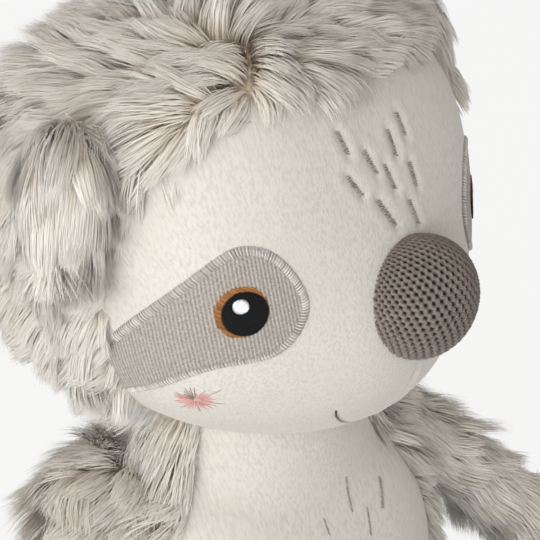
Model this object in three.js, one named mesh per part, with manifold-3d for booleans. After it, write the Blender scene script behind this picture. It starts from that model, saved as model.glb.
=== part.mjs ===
// A seated stuffed sloth: long-pile hood, body and limbs, a short-pile face and belly,
// knitted nose, ribbed eye patches and a bean pouch in the seat. Millimetres, +Z up.
// The toy faces -Y, its left side is +X, and it sits on the plane Z = 0 round the origin.

import * as THREE from 'three';
import { mergeVertices } from 'three/addons/utils/BufferGeometryUtils.js';
import Module from 'manifold-3d';

const wasm = await Module();
wasm.setup();

// Cloth, pile and clearances
const PILE = 10;              // mean height of the long pile over its backing
const BACKING = 2.5;          // fur backing, and thickness of the short-pile cloth
const GAP = 0.3;              // between pieces that are sewn or lie together
const SEAT_GAP = 1.0;         // between a round root or filling and its seat

// Head
const HEAD_WIDTH = 180;
const HEAD_FRONT = 61;        // centre to forehead
const HEAD_BACK = 84;
const HEAD_UP = 86;
const HEAD_DOWN = 67;
const HEAD_POWER = 2.5;       // 2 is an ellipsoid, more is squarer
const MUZZLE_OUT = 20;        // how far the muzzle swells out of the head
const MUZZLE_SPREAD = 41;     // degrees
const MUZZLE_DROP = 28;       // degrees below the horizon
const HEAD_OVERHANG = 14;     // head centre in front of the seat's centre
const HEAD_HEIGHT = 226;      // head centre over the seat
const HEAD_TURN = 8;          // degrees, to the toy's left
const HEAD_NOD = 4;
const HEAD_TILT = 4.5;

// Face, in degrees of longitude from the front and latitude from the head's horizon
const FACE_HALF = 88;
const FACE_TOP = 56;
const FACE_POWER = 2.6;
const NOSE_LAT = -6;
const NOSE_RADIUS = 23.6;
const NOSE_DEPTH = 21;
const KNIT = 2;
const EYE_LON = 54;
const EYE_LAT = 2;
const EYE_RADIUS = 9;
const EYE_THICK = 1;
const PATCH_THICK = 1;
const PATCH_MARGIN = 0.4;      // degrees inside the face panel's edge
const PATCH_OUTLINE = [
  [38.4, 1], [45, 13.5], [55, 17], [66, 9.5], [88, -11], [86, -24], [64.5, -12.8], [46, -9.8],
];
const EAR_LON = 92;
const EAR_LAT = 23;
const EAR_WIDTH = 44;
const EAR_HEIGHT = 64;
const EAR_THICK = 30;
const EAR_OUT = 9;            // ear centre over the hood's surface
const EAR_SWEEP = 28;         // degrees that the flap's face turns to the front
const EAR_LEAN = 8;           // degrees that its top leans in over the hood

// Torso
const BODY_WIDTH = 160;
const BODY_FRONT = 62;
const BODY_BACK = 58;
const BODY_MID = 52;          // height of the widest level
const BODY_UP = 92;           // from there to the top
const BODY_DOWN = 60;         // and to where the bottom would round out under the floor
const BODY_POWER = 2.8;
const BELLY_HALF = 60;        // degrees each side of the front
const BELLY_LOW = 34;         // degrees below the widest level
const BELLY_POWER = 2.4;
const POUCH_WIDTH = 78;
const POUCH_DEPTH = 58;
const POUCH_HEIGHT = 30;
const POUCH_POWER = 2.4;

// Neck: a round filling in a collar of the body's fur, on which the head turns and nods
const NECK_RADIUS = 32;
const NECK_FORWARD = 4;       // neck centre in front of the seat's centre
const NECK_HEIGHT = 160;
const COLLAR_RIM = 78;        // degrees from straight up
const NOD_ROOM = 22;          // degrees of rim clearance for the head's nod

// Limbs
const ARM_X = 68;              // shoulder pivot
const ARM_Y = 4;
const ARM_Z = 124;
const ARM_HEADING = 64;       // degrees out from straight ahead
const ARM_SLOPE = -30;        // degrees at the root
const ARM_END_SLOPE = -60;    // degrees at the paw
const ARM_LENGTH = 138;       // pivot to the paw's end
const ARM_ROOT = 29;          // radii over the pile
const ARM_SHAFT = 25.5;
const ARM_WRIST = 19.5;
const ARM_PAW = 25;
const ARM_RANGE = [0, 50];    // degrees of lift
const LEG_X = 52;              // hip pivot
const LEG_Y = -32;
const LEG_Z = 29;
const LEG_HEADING = 27;
const LEG_SLOPE = -2;
const LEG_LENGTH = 124;
const LEG_ROOT = 30;
const LEG_SHAFT = 27;
const LEG_WRIST = 22.5;
const LEG_PAW = 28;
const LEG_RANGE = [-6, 32];   // degrees of splay
const ARM = {
  pivot: new THREE.Vector3(ARM_X, ARM_Y, ARM_Z),
  out: ARM_HEADING, slope: ARM_SLOPE, endSlope: ARM_END_SLOPE, length: ARM_LENGTH,
  root: ARM_ROOT, shaft: ARM_SHAFT, wrist: ARM_WRIST, paw: ARM_PAW, range: ARM_RANGE, hinge: 'lift',
};
const LEG = {
  pivot: new THREE.Vector3(LEG_X, LEG_Y, LEG_Z),
  out: LEG_HEADING, slope: LEG_SLOPE, endSlope: LEG_SLOPE, length: LEG_LENGTH,
  root: LEG_ROOT, shaft: LEG_SHAFT, wrist: LEG_WRIST, paw: LEG_PAW, range: LEG_RANGE, hinge: 'splay',
};
const WRIST_AT = 0.6;         // share of the limb's length
const PAW_AT = 0.84;
const CLAWS = 3;
const CLAW_PITCH = 13.5;
const CLAW_LENGTH = 21;       // outside the paw
const CLAW_RADIUS = 6;
const CLAW_CURL = 55;         // degrees that a claw bends down
const CLAW_BLUNT = 4;         // power of its taper, 2 is elliptic

// Facets
const HEAD_AROUND = 32;
const HEAD_RINGS = 18;
const BODY_AROUND = 28;
const BODY_RINGS = 14;
const INNER_AROUND = 20;      // inner forms are coarser, and so lie inside the outer ones
const INNER_RINGS = 12;
const SEAT_AROUND = 22;
const SEAT_RINGS = 12;
const HIDDEN_AROUND = 14;     // seats and forms that nothing shows
const HIDDEN_RINGS = 8;
const LIMB_AROUND = 12;
const LIMB_STEPS = 6;         // along the root, and along the shaft
const CAP_STEPS = 4;
const BEND_STEPS = 24;
const CLAW_AROUND = 6;
const CLAW_STEPS = 6;
const CONE_STEPS = 5;
const PANEL_STEPS = 22;
const SIDE_STEPS = 5;
const PATCH_STEPS = 30;
const EYE_CORNERS = 20;
const RIM_CORNERS = 24;
const SWEEP_STEPS = 3;        // positions of a limb's hinge that the torso is cleared at
const FACET_SAG = 1;          // how far a coarse form's facets lie inside the true one
const TORSO_SAG = 1.7;          // the same for the squarer torso
const REACH = 190;            // length of a cutting cone
const MERGE = 1e-4;           // vertices closer than this are one

const radians = THREE.MathUtils.degToRad;

function finish(color, roughness) {
  return new THREE.MeshStandardMaterial({ color, roughness, metalness: 0 });
}
const longPile = () => finish(0xd3cfc8, 0.95);
const shortPile = () => finish(0xe8e0d2, 0.9);
const knitted = () => finish(0x6e625a, 0.95);
const jersey = () => finish(0xa9a19a, 0.9);
const thread = () => finish(0x17171a, 0.55);
const filling = () => finish(0xf2f0ea, 1);
const beanCloth = () => finish(0xc9c4b8, 0.8);

function direction(lon, lat) {
  const a = radians(lon);
  const e = radians(lat);
  return new THREE.Vector3(Math.sin(a) * Math.cos(e), -Math.cos(a) * Math.cos(e), Math.sin(e));
}

function solidOf(geometry) {
  const bare = geometry.clone();
  bare.deleteAttribute('normal');
  bare.deleteAttribute('uv');
  const merged = mergeVertices(bare, MERGE);
  return new wasm.Manifold(new wasm.Mesh({
    numProp: 3,
    vertProperties: new Float32Array(merged.attributes.position.array),
    triVerts: new Uint32Array(merged.index.array),
  }));
}

function geometryOf(solid) {
  const mesh = solid.getMesh();
  const geometry = new THREE.BufferGeometry();
  geometry.setAttribute('position', new THREE.BufferAttribute(mesh.vertProperties, 3));
  geometry.setIndex(new THREE.BufferAttribute(mesh.triVerts, 1));
  geometry.computeVertexNormals();
  return geometry;
}

function innerHead(lift) {
  return headForm(lift, INNER_AROUND, INNER_RINGS);
}

function innerTorso(lift) {
  return solidOf(torsoForm(lift, INNER_AROUND, INNER_RINGS));
}

function cut(solid, ...tools) {
  return tools.reduce((left, tool) => left.subtract(tool), solid);
}

// A closed form whose surface lies at reach(direction) from its centre
function roundForm(reach, around, rings, centre = new THREE.Vector3()) {
  const geometry = new THREE.SphereGeometry(1, around, rings);
  geometry.rotateX(Math.PI / 2);
  const place = geometry.attributes.position;
  const point = new THREE.Vector3();
  for (let i = 0; i < place.count; i += 1) {
    point.fromBufferAttribute(place, i).normalize();
    point.multiplyScalar(reach(point)).add(centre);
    place.setXYZ(i, point.x, point.y, point.z);
  }
  return geometry;
}

function ball(centre, radius, around = SEAT_AROUND, rings = SEAT_RINGS) {
  return roundForm(() => radius, around, rings, centre);
}

function eggReach(way, half, front, back, up, down, power) {
  const depth = way.y < 0 ? front : back;
  const height = way.z > 0 ? up : down;
  const sum = Math.abs(way.x / half) ** power + Math.abs(way.y / depth) ** power
    + Math.abs(way.z / height) ** power;
  return sum ** (-1 / power);
}

const muzzleWay = direction(0, -MUZZLE_DROP);

function headReach(way) {
  const egg = eggReach(way, HEAD_WIDTH / 2, HEAD_FRONT, HEAD_BACK, HEAD_UP, HEAD_DOWN, HEAD_POWER);
  const swell = way.angleTo(muzzleWay) / radians(MUZZLE_SPREAD);
  return egg + MUZZLE_OUT * Math.exp(-swell * swell);
}

function headForm(lift, around = HEAD_AROUND, rings = HEAD_RINGS) {
  return solidOf(roundForm((way) => headReach(way) + lift, around, rings));
}

function headPoint(lon, lat, lift) {
  const way = direction(lon, lat);
  return way.clone().multiplyScalar(headReach(way) + lift);
}

const bodyCentre = new THREE.Vector3(0, 0, BODY_MID);

function torsoForm(lift, around = BODY_AROUND, rings = BODY_RINGS) {
  const reach = (way) => lift
    + eggReach(way, BODY_WIDTH / 2, BODY_FRONT, BODY_BACK, BODY_UP, BODY_DOWN, BODY_POWER);
  return roundForm(reach, around, rings, bodyCentre);
}

// Everything over the level z
function over(level) {
  const block = new THREE.BoxGeometry(4 * REACH, 4 * REACH, 4 * REACH);
  block.translate(0, 0, level + 2 * REACH);
  return solidOf(block);
}

// A cone from the centre out through an outline of directions, widened by spread degrees
function cone(outline, spread = 0, centre = new THREE.Vector3()) {
  const axis = new THREE.Vector3();
  outline.forEach((way) => axis.add(way));
  axis.normalize();
  const count = outline.length;
  const steps = CONE_STEPS;
  const points = [centre.clone(), axis.clone().multiplyScalar(REACH).add(centre)];
  for (let k = 1; k <= steps; k += 1) {
    outline.forEach((way) => {
      const hinge = new THREE.Vector3().crossVectors(axis, way).normalize();
      const angle = (axis.angleTo(way) + radians(spread)) * (k / steps);
      points.push(axis.clone().applyAxisAngle(hinge, angle).multiplyScalar(REACH).add(centre));
    });
  }
  const at = (k, i) => 2 + (k - 1) * count + (i % count);
  const faces = [];
  for (let i = 0; i < count; i += 1) {
    faces.push(1, at(1, i), at(1, i + 1));
    for (let k = 1; k < steps; k += 1) {
      faces.push(at(k, i), at(k + 1, i), at(k + 1, i + 1));
      faces.push(at(k, i), at(k + 1, i + 1), at(k, i + 1));
    }
    faces.push(0, at(steps, i + 1), at(steps, i));
  }
  return closedForm(points, faces);
}

// A closed skin over the points, with its faces turned outward
function closedForm(points, faces) {
  let volume = 0;
  for (let i = 0; i < faces.length; i += 3) {
    const [a, b, c] = [points[faces[i]], points[faces[i + 1]], points[faces[i + 2]]];
    volume += a.dot(new THREE.Vector3().crossVectors(b, c));
  }
  const geometry = new THREE.BufferGeometry().setFromPoints(points);
  geometry.setIndex(volume < 0 ? faces.slice().reverse() : faces);
  return solidOf(geometry);
}

// Directions round a panel with straight sides, open to the pole at the far end from its tip
function panelOutline(half, tip, power) {
  const ways = [];
  for (let i = 0; i <= PANEL_STEPS; i += 1) {
    const t = (Math.PI * i) / PANEL_STEPS;
    const lon = half * Math.sign(Math.cos(t)) * Math.abs(Math.cos(t)) ** (2 / power);
    ways.push(direction(lon, tip * Math.sin(t) ** (2 / power)));
  }
  const far = -Math.sign(tip) * 90;
  for (let i = 1; i <= SIDE_STEPS; i += 1) {
    ways.push(direction(-half, (far * i) / SIDE_STEPS));
  }
  for (let i = SIDE_STEPS - 1; i > 0; i -= 1) {
    ways.push(direction(half, (far * i) / SIDE_STEPS));
  }
  return ways;
}

// Directions at one angle from straight up
function rimOutline(angle) {
  const ways = [];
  for (let i = 0; i < RIM_CORNERS; i += 1) ways.push(direction((360 * i) / RIM_CORNERS, 90 - angle));
  return ways;
}

// A ball as wide as the collar, open within an angle from straight up
function collarBall(centre, grow, angle) {
  const radius = NECK_RADIUS + SEAT_GAP + BACKING + PILE + grow;
  return cut(solidOf(ball(centre, radius)), cone(rimOutline(angle), 0, centre));
}

function pivotOf(limb, side) {
  return new THREE.Vector3(side * limb.pivot.x, limb.pivot.y, limb.pivot.z);
}

// Centre line of a limb from its pivot, straight through the root and then evenly bent
function limbFrame(limb, side, along) {
  const straight = limb.root;
  const heading = new THREE.Vector3(side * Math.sin(radians(limb.out)), -Math.cos(radians(limb.out)), 0);
  const across = new THREE.Vector3(heading.y, -heading.x, 0);
  const slopeAt = (s) => {
    const share = Math.max(0, s - straight) / (limb.length - straight);
    return radians(limb.slope + (limb.endSlope - limb.slope) * share);
  };
  const tangentAt = (s) => heading.clone().multiplyScalar(Math.cos(slopeAt(s)))
    .add(new THREE.Vector3(0, 0, Math.sin(slopeAt(s))));
  const centre = pivotOf(limb, side);
  centre.addScaledVector(tangentAt(0), Math.min(along, straight));
  const step = Math.max(0, along - straight) / BEND_STEPS;
  for (let i = 0; i < BEND_STEPS; i += 1) {
    centre.addScaledVector(tangentAt(straight + (i + 0.5) * step), step);
  }
  const tangent = tangentAt(along);
  return { centre, tangent, across, up: new THREE.Vector3().crossVectors(across, tangent) };
}

function shaftRadius(limb, s) {
  const wristAt = limb.length * WRIST_AT;
  const pawAt = limb.length * PAW_AT;
  const taper = THREE.MathUtils.smoothstep(s, 0, wristAt);
  const swell = THREE.MathUtils.smoothstep(s, wristAt, pawAt);
  return limb.shaft + (limb.wrist - limb.shaft) * taper + (limb.paw - limb.wrist) * swell;
}

// A limb's form, thinner by inset, from start to its rounded paw; a full one starts as a ball
function limbForm(limb, side, inset, start) {
  const end = limb.length - inset;
  const cap = limb.paw - inset;
  const isBall = start === undefined;
  const joinAt = Math.sqrt(limb.root ** 2 - limb.shaft ** 2);
  const stations = [];
  if (isBall) {
    const full = Math.PI - Math.acos(joinAt / limb.root);
    for (let i = 1; i < LIMB_STEPS; i += 1) stations.push(-limb.root * Math.cos((full * i) / LIMB_STEPS));
  } else {
    stations.push(start);
  }
  for (let i = 0; i < LIMB_STEPS; i += 1) {
    stations.push(joinAt + ((end - cap - joinAt) * i) / LIMB_STEPS);
  }
  for (let i = 0; i < CAP_STEPS; i += 1) {
    stations.push(end - cap + cap * Math.sin((Math.PI / 2) * (i / CAP_STEPS)));
  }
  const radiusAt = (s) => {
    if (isBall && s < joinAt) return Math.sqrt(limb.root ** 2 - s * s);
    const blunt = Math.max(0, s - (end - cap)) / cap;
    return (shaftRadius(limb, Math.max(s, 0)) - inset) * Math.sqrt(1 - blunt * blunt);
  };
  const first = limbFrame(limb, side, isBall ? -limb.root : start).centre;
  const last = limbFrame(limb, side, end).centre;
  const rings = stations.map((s) => ({ ...limbFrame(limb, side, s), radius: radiusAt(s) }));
  return loft(rings, first, last, LIMB_AROUND);
}

// A closed skin over round rings, pointed or flat at its two end points
function loft(rings, first, last, around) {
  const points = [first];
  rings.forEach(({ centre, across, up, radius }) => {
    for (let i = 0; i < around; i += 1) {
      const turn = (2 * Math.PI * i) / around;
      points.push(centre.clone().addScaledVector(across, radius * Math.cos(turn))
        .addScaledVector(up, radius * Math.sin(turn)));
    }
  });
  points.push(last);
  const at = (k, i) => 1 + k * around + (i % around);
  const faces = [];
  for (let i = 0; i < around; i += 1) {
    faces.push(0, at(0, i + 1), at(0, i));
    for (let k = 0; k + 1 < rings.length; k += 1) {
      faces.push(at(k, i), at(k, i + 1), at(k + 1, i + 1));
      faces.push(at(k, i), at(k + 1, i + 1), at(k + 1, i));
    }
    faces.push(at(rings.length - 1, i), at(rings.length - 1, i + 1), points.length - 1);
  }
  return closedForm(points, faces);
}

// The torso as a limb meets it over the whole range of its hinge
function torsoSwept(limb, side) {
  const pivot = pivotOf(limb, side);
  const axis = limb.hinge === 'lift' ? limbFrame(limb, side, 0).across : new THREE.Vector3(0, 0, side);
  let swept = null;
  for (let i = 0; i <= SWEEP_STEPS; i += 1) {
    const angle = limb.range[0] + ((limb.range[1] - limb.range[0]) * i) / SWEEP_STEPS;
    const turn = new THREE.Matrix4().makeRotationAxis(axis, -radians(angle));
    const form = torsoForm(PILE + SEAT_GAP + TORSO_SAG, INNER_AROUND, INNER_RINGS);
    form.translate(-pivot.x, -pivot.y, -pivot.z).applyMatrix4(turn).translate(pivot.x, pivot.y, pivot.z);
    swept = swept ? swept.add(solidOf(form)) : solidOf(form);
  }
  return cut(swept, solidOf(ball(pivot, limb.root + 0.5 * SEAT_GAP)));
}

const group = new THREE.Group();

function addMesh(parent, name, solid, material) {
  const mesh = new THREE.Mesh(geometryOf(solid), material());
  mesh.name = name;
  parent.add(mesh);
}

const SIDES = [['left', 1], ['right', -1]];

// Head: everything here is in the head's own frame
const headGroup = new THREE.Group();
headGroup.position.set(0, -HEAD_OVERHANG, HEAD_HEIGHT);
headGroup.rotation.set(radians(HEAD_NOD), radians(-HEAD_TILT), radians(HEAD_TURN), 'ZXY');
headGroup.updateMatrixWorld();
group.add(headGroup);

const neckCentre = new THREE.Vector3(0, -NECK_FORWARD, NECK_HEIGHT);
const neckInHead = neckCentre.clone().applyMatrix4(headGroup.matrixWorld.clone().invert());

function addHead() {
  const neckSeat = solidOf(ball(neckInHead, NECK_RADIUS + SEAT_GAP))
    .add(collarBall(neckInHead, SEAT_GAP + FACET_SAG, COLLAR_RIM - NOD_ROOM));
  const lining = innerHead(-BACKING);
  const faceWays = panelOutline(FACE_HALF, FACE_TOP, FACE_POWER);
  const seam = THREE.MathUtils.radToDeg(GAP / HEAD_FRONT);
  const hood = cut(headForm(PILE), lining, cone(faceWays, seam), neckSeat);
  const face = cut(headForm(0), lining, neckSeat).intersect(cone(faceWays));
  addMesh(headGroup, 'head_cover', hood, longPile);
  addMesh(headGroup, 'face_panel', face, shortPile);
  addMesh(headGroup, 'head_stuffing', cut(innerHead(-BACKING - GAP), neckSeat), filling);
}

function addNose() {
  const centre = headPoint(0, NOSE_LAT, 0);
  const way = direction(0, NOSE_LAT);
  const dome = (inset, around = SEAT_AROUND, rings = SEAT_RINGS) => {
    const form = roundForm(() => 1, around, rings);
    form.scale(NOSE_RADIUS - inset, NOSE_DEPTH - inset, NOSE_RADIUS - inset);
    form.rotateX(Math.asin(-way.z));
    form.translate(centre.x, centre.y, centre.z);
    return solidOf(form);
  };
  const clear = headForm(GAP);
  addMesh(headGroup, 'nose_cover', cut(dome(0), dome(KNIT), clear), knitted);
  const core = cut(dome(KNIT + 2 * GAP, HIDDEN_AROUND, HIDDEN_RINGS), clear);
  addMesh(headGroup, 'nose_stuffing', core, filling);
}

function addEye(name, side) {
  const curve = new THREE.CatmullRomCurve3(
    PATCH_OUTLINE.map(([lon, lat]) => new THREE.Vector3(lon, lat, 0)), true);
  const outline = curve.getSpacedPoints(PATCH_STEPS).slice(1).map((p) => direction(side * p.x, p.y));
  const faceWays = panelOutline(FACE_HALF, FACE_TOP, FACE_POWER);
  const patch = cut(headForm(GAP + PATCH_THICK), headForm(GAP))
    .intersect(cone(outline)).intersect(cone(faceWays, -PATCH_MARGIN));
  addMesh(headGroup, `eye_patch_${name}`, patch, jersey);
  const middle = headPoint(side * EYE_LON, EYE_LAT, 0);
  const spread = Math.atan(EYE_RADIUS / middle.length());
  const tilt = new THREE.Vector3(0, 0, 1).cross(middle).normalize();
  const rim = middle.clone().normalize().applyAxisAngle(tilt, spread);
  const disc = [];
  for (let i = 0; i < EYE_CORNERS; i += 1) {
    disc.push(rim.clone().applyAxisAngle(middle.clone().normalize(), (2 * Math.PI * i) / EYE_CORNERS));
  }
  const low = 2 * GAP + PATCH_THICK;
  const eye = cut(headForm(low + EYE_THICK), headForm(low)).intersect(cone(disc));
  addMesh(headGroup, `eye_${name}`, eye, thread);
}

function addEar(name, side) {
  const form = roundForm(() => 1, SEAT_AROUND, SEAT_RINGS);
  form.scale(EAR_THICK / 2, EAR_WIDTH / 2, EAR_HEIGHT / 2);
  form.rotateY(-radians(side * EAR_LEAN));
  form.rotateZ(radians(side * (EAR_LON - 90 - EAR_SWEEP)));
  const root = headPoint(side * EAR_LON, EAR_LAT, PILE + EAR_OUT);
  form.translate(root.x, root.y, root.z);
  const ear = cut(solidOf(form), headForm(PILE + GAP));
  addMesh(headGroup, `ear_${name}`, ear, longPile);
}

function addTorso() {
  const floor = over(0);
  const joints = [[neckCentre, NECK_RADIUS]];
  SIDES.forEach(([, side]) => {
    [ARM, LEG].forEach((limb) => joints.push([pivotOf(limb, side), limb.root]));
  });
  const seats = joints.map(([at, radius]) => solidOf(ball(at, radius + SEAT_GAP)));
  const rough = joints.map(([at, radius]) => solidOf(
    ball(at, radius + SEAT_GAP + FACET_SAG, HIDDEN_AROUND, HIDDEN_RINGS)));
  const bellyWays = panelOutline(BELLY_HALF, -BELLY_LOW, BELLY_POWER);
  const seam = THREE.MathUtils.radToDeg(GAP / BODY_FRONT);
  const lining = innerTorso(-BACKING).intersect(over(BACKING));
  const outer = solidOf(torsoForm(PILE)).add(collarBall(neckCentre, 0, COLLAR_RIM)).intersect(floor);
  const cover = cut(outer, lining, cone(bellyWays, seam, bodyCentre), ...seats);
  const front = solidOf(torsoForm(0)).add(collarBall(neckCentre, -PILE, COLLAR_RIM));
  const belly = cut(front, lining, ...seats).intersect(cone(bellyWays, 0, bodyCentre));
  addMesh(group, 'body_cover', cover, longPile);
  addMesh(group, 'belly_panel', belly, shortPile);
  const pouchFloor = BACKING + GAP;
  const pouch = (grow) => {
    const depth = POUCH_DEPTH / 2 + grow;
    const reach = (way) => eggReach(
      way, POUCH_WIDTH / 2 + grow, depth, depth, POUCH_HEIGHT + grow, POUCH_HEIGHT, POUCH_POWER);
    const form = roundForm(reach, HIDDEN_AROUND, HIDDEN_RINGS);
    form.translate(0, 0, pouchFloor);
    return solidOf(form).intersect(over(pouchFloor));
  };
  const inside = innerTorso(-BACKING - GAP).intersect(over(pouchFloor));
  addMesh(group, 'body_stuffing', cut(inside, pouch(GAP), ...rough), filling);
  addMesh(group, 'bean_pouch', cut(pouch(0), ...rough), beanCloth);
}

function clawForm(limb, side, index) {
  const paw = limbFrame(limb, side, limb.length - limb.paw);
  const offset = (index - (CLAWS - 1) / 2) * CLAW_PITCH;
  const reach = Math.sqrt(limb.paw ** 2 - offset ** 2) + CLAW_LENGTH;
  const rings = [];
  const centre = paw.centre.clone().addScaledVector(paw.across, offset);
  for (let i = 0; i < CLAW_STEPS; i += 1) {
    const share = i / CLAW_STEPS;
    const bend = -radians(CLAW_CURL) * share;
    const tangent = paw.tangent.clone().applyAxisAngle(paw.across, bend);
    rings.push({
      centre: centre.clone(),
      across: paw.across,
      up: new THREE.Vector3().crossVectors(paw.across, tangent),
      radius: CLAW_RADIUS * Math.sqrt(1 - share ** CLAW_BLUNT),
    });
    centre.addScaledVector(tangent, reach / CLAW_STEPS);
  }
  return loft(rings, rings[0].centre.clone(), centre, CLAW_AROUND);
}

function addLimb(kind, limb, name, side) {
  const wall = PILE + BACKING;
  const clearOfTorso = torsoSwept(limb, side);
  const full = cut(limbForm(limb, side, 0), clearOfTorso).intersect(over(0));
  const cavity = limbForm(limb, side, wall, -limb.root - 2 * BACKING);
  addMesh(group, `${kind}_cover_${name}`, cut(full, cavity), longPile);
  const inside = limbForm(limb, side, wall + GAP, wall - limb.root);
  addMesh(group, `${kind}_stuffing_${name}`, cut(inside, clearOfTorso), filling);
  const skin = limbForm(limb, side, -GAP);
  for (let i = 0; i < CLAWS; i += 1) {
    addMesh(group, `${kind}_claw_${name}_${i + 1}`, cut(clawForm(limb, side, i), skin), jersey);
  }
}

addTorso();
addMesh(group, 'neck_stuffing', solidOf(ball(neckCentre, NECK_RADIUS)), filling);
addHead();
addNose();
SIDES.forEach(([name, side]) => {
  addEye(name, side);
  addEar(name, side);
  addLimb('arm', ARM, name, side);
  addLimb('leg', LEG, name, side);
});

export default group;
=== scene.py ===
import math
from types import SimpleNamespace

import bpy
import numpy as np
from mathutils import Matrix, kdtree


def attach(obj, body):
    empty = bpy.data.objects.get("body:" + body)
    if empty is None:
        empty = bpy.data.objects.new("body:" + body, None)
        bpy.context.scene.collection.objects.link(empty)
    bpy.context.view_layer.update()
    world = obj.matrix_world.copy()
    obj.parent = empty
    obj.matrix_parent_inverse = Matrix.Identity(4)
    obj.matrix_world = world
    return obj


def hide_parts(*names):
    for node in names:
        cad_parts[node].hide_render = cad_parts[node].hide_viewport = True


# A seated plush sloth: long-pile fur over stuffed skins, a short-pile face and belly, a knitted
# nose and embroidered eyes. Lengths are millimetres until a mesh is made. The toy faces -Y and
# its left side is +X.

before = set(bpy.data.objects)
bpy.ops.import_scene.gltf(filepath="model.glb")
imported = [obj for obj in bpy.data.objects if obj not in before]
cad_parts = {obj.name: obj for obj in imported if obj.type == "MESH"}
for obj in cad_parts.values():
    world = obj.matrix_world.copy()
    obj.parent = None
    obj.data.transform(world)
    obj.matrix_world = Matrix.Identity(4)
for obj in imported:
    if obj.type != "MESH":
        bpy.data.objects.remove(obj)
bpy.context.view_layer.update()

MM = 0.001
SIDES = (("left", 1), ("right", -1))

# Driving sizes, as in the solids
HEAD = dict(half=90, front=61, back=84, up=86, down=67, power=2.5)
MUZZLE_OUT, MUZZLE_SPREAD, MUZZLE_DROP = 20, 41, 28
HEAD_CENTRE = np.array([0, -14, 226])
HEAD_TURN, HEAD_NOD, HEAD_TILT = 8, 4, 4.5
FACE_HALF, FACE_TOP, FACE_POWER = 88, 56, 2.6
NOSE_LAT, NOSE_RADIUS, NOSE_DEPTH = -6, 23.6, 21
EYE_LON, EYE_LAT = 54, 2
EAR_LON, EAR_LAT, EAR_SIZE = 92, 23, np.array([30, 44, 64])
EAR_OUT, EAR_SWEEP, EAR_LEAN, EAR_PILE = 9, 28, 8, 9
BODY = dict(half=80, front=62, back=58, up=92, down=60, power=2.8)
BODY_MID = 52
BELLY_HALF, BELLY_LOW, BELLY_POWER = 60, 34, 2.4
NECK = np.array([0, -4, 160])
NECK_RADIUS = 32
PILE = 10
ARM = SimpleNamespace(pivot=(68, 4, 124), out=64, slope=-30, end_slope=-60, length=138, root=29,
                      shaft=25.5, wrist=19.5, paw=25)
LEG = SimpleNamespace(pivot=(52, -32, 29), out=27, slope=-2, end_slope=-2, length=124, root=30,
                      shaft=27, wrist=22.5, paw=28)
WRIST_AT, PAW_AT = 0.6, 0.84
CLAWS, CLAW_PITCH, CLAW_LENGTH, CLAW_RADIUS, CLAW_CURL = 3, 13.5, 21, 6, 55


# Vector helpers

def unit(v):
    v = np.asarray(v, float)
    return v / np.maximum(np.linalg.norm(v, axis=-1, keepdims=True), 1e-9)


def way(lon, lat):
    """Direction at a longitude from the front and a latitude, in degrees."""
    a, e = np.radians(lon), np.radians(lat)
    return np.stack([np.sin(a) * np.cos(e), -np.cos(a) * np.cos(e), np.sin(e) + 0 * a], -1)


def lon_lat(v):
    v = unit(v)
    return np.degrees(np.arctan2(v[..., 0], -v[..., 1])), np.degrees(np.arcsin(np.clip(v[..., 2], -1, 1)))


def cos_sin(degrees):
    return math.cos(math.radians(degrees)), math.sin(math.radians(degrees))


def turn(axis, degrees):
    """Rotation matrix about an axis through the origin."""
    x, y, z = unit(axis)
    c, s = cos_sin(degrees)
    k = np.array([[0, -z, y], [z, 0, -x], [-y, x, 0]])
    return np.eye(3) + s * k + (1 - c) * (k @ k)


def smooth(x, low, high):
    """0 up to low and 1 from high on, with a soft rise between them."""
    t = np.clip((x - low) / (high - low), 0, 1)
    return t * t * (3 - 2 * t)


def bell(x, width):
    """1 where x is 0, falling to nothing well past width."""
    return np.exp(-(x / width) ** 2)


def closeness(points, place, width):
    """1 at a place, falling to nothing well past width from it."""
    return bell(np.linalg.norm(points - place, axis=1), width)


def angle_from(v, axis):
    """Degrees between directions and one axis."""
    return np.degrees(np.arccos(np.clip(v @ axis, -1, 1)))


def circle(count):
    """Evenly spaced angles, once round."""
    return np.linspace(0, 2 * math.pi, count, endpoint=False)


def rings(one, two, count):
    """A circle of points in each plane of the directions one and two."""
    angle = circle(count)[:, None]
    return np.cos(angle) * one[..., None, :] + np.sin(angle) * two[..., None, :]


def read_off(s, run, rows):
    """Coordinates at distances s, from rows of coordinates at the distances run."""
    return np.stack([np.interp(s, run, column) for column in rows.T], -1)


def laid(ways, normals):
    """Directions along a skin: the part that points off it is taken out."""
    return unit(ways - (ways * normals).sum(1, keepdims=True) * normals)


def swung(ways, normals, angle):
    """Directions turned about normals, by angles in radians."""
    return ways * np.cos(angle)[..., None] + np.cross(normals, ways) * np.sin(angle)[..., None]


class Waves:
    """Smooth seeded noise in space, about -1 to 1, from a few sine waves."""

    def __init__(self, seed, length, count=9):
        rng = np.random.default_rng(seed)
        heading = unit(rng.normal(size=(count, 3)))
        self.k = heading * (2 * math.pi / (length * rng.uniform(0.7, 1.6, (count, 1))))
        self.phase = rng.uniform(0, 2 * math.pi, count)

    def __call__(self, p):
        return np.sin(p @ self.k.T + self.phase).sum(-1) * (1.3 / math.sqrt(len(self.phase)))


# Forms

HEAD_AXES = turn((0, 0, 1), HEAD_TURN) @ turn((1, 0, 0), HEAD_NOD) @ turn((0, 1, 0), -HEAD_TILT)


def from_head(p):
    return np.asarray(p, float) @ HEAD_AXES.T + HEAD_CENTRE


def to_head(p):
    return (np.asarray(p, float) - HEAD_CENTRE) @ HEAD_AXES


def egg(v, half, front, back, up, down, power):
    depth = np.where(v[..., 1] < 0, front, back)
    height = np.where(v[..., 2] > 0, up, down)
    total = np.abs(v[..., 0] / half) ** power + np.abs(v[..., 1] / depth) ** power
    return (total + np.abs(v[..., 2] / height) ** power) ** (-1 / power)


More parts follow.
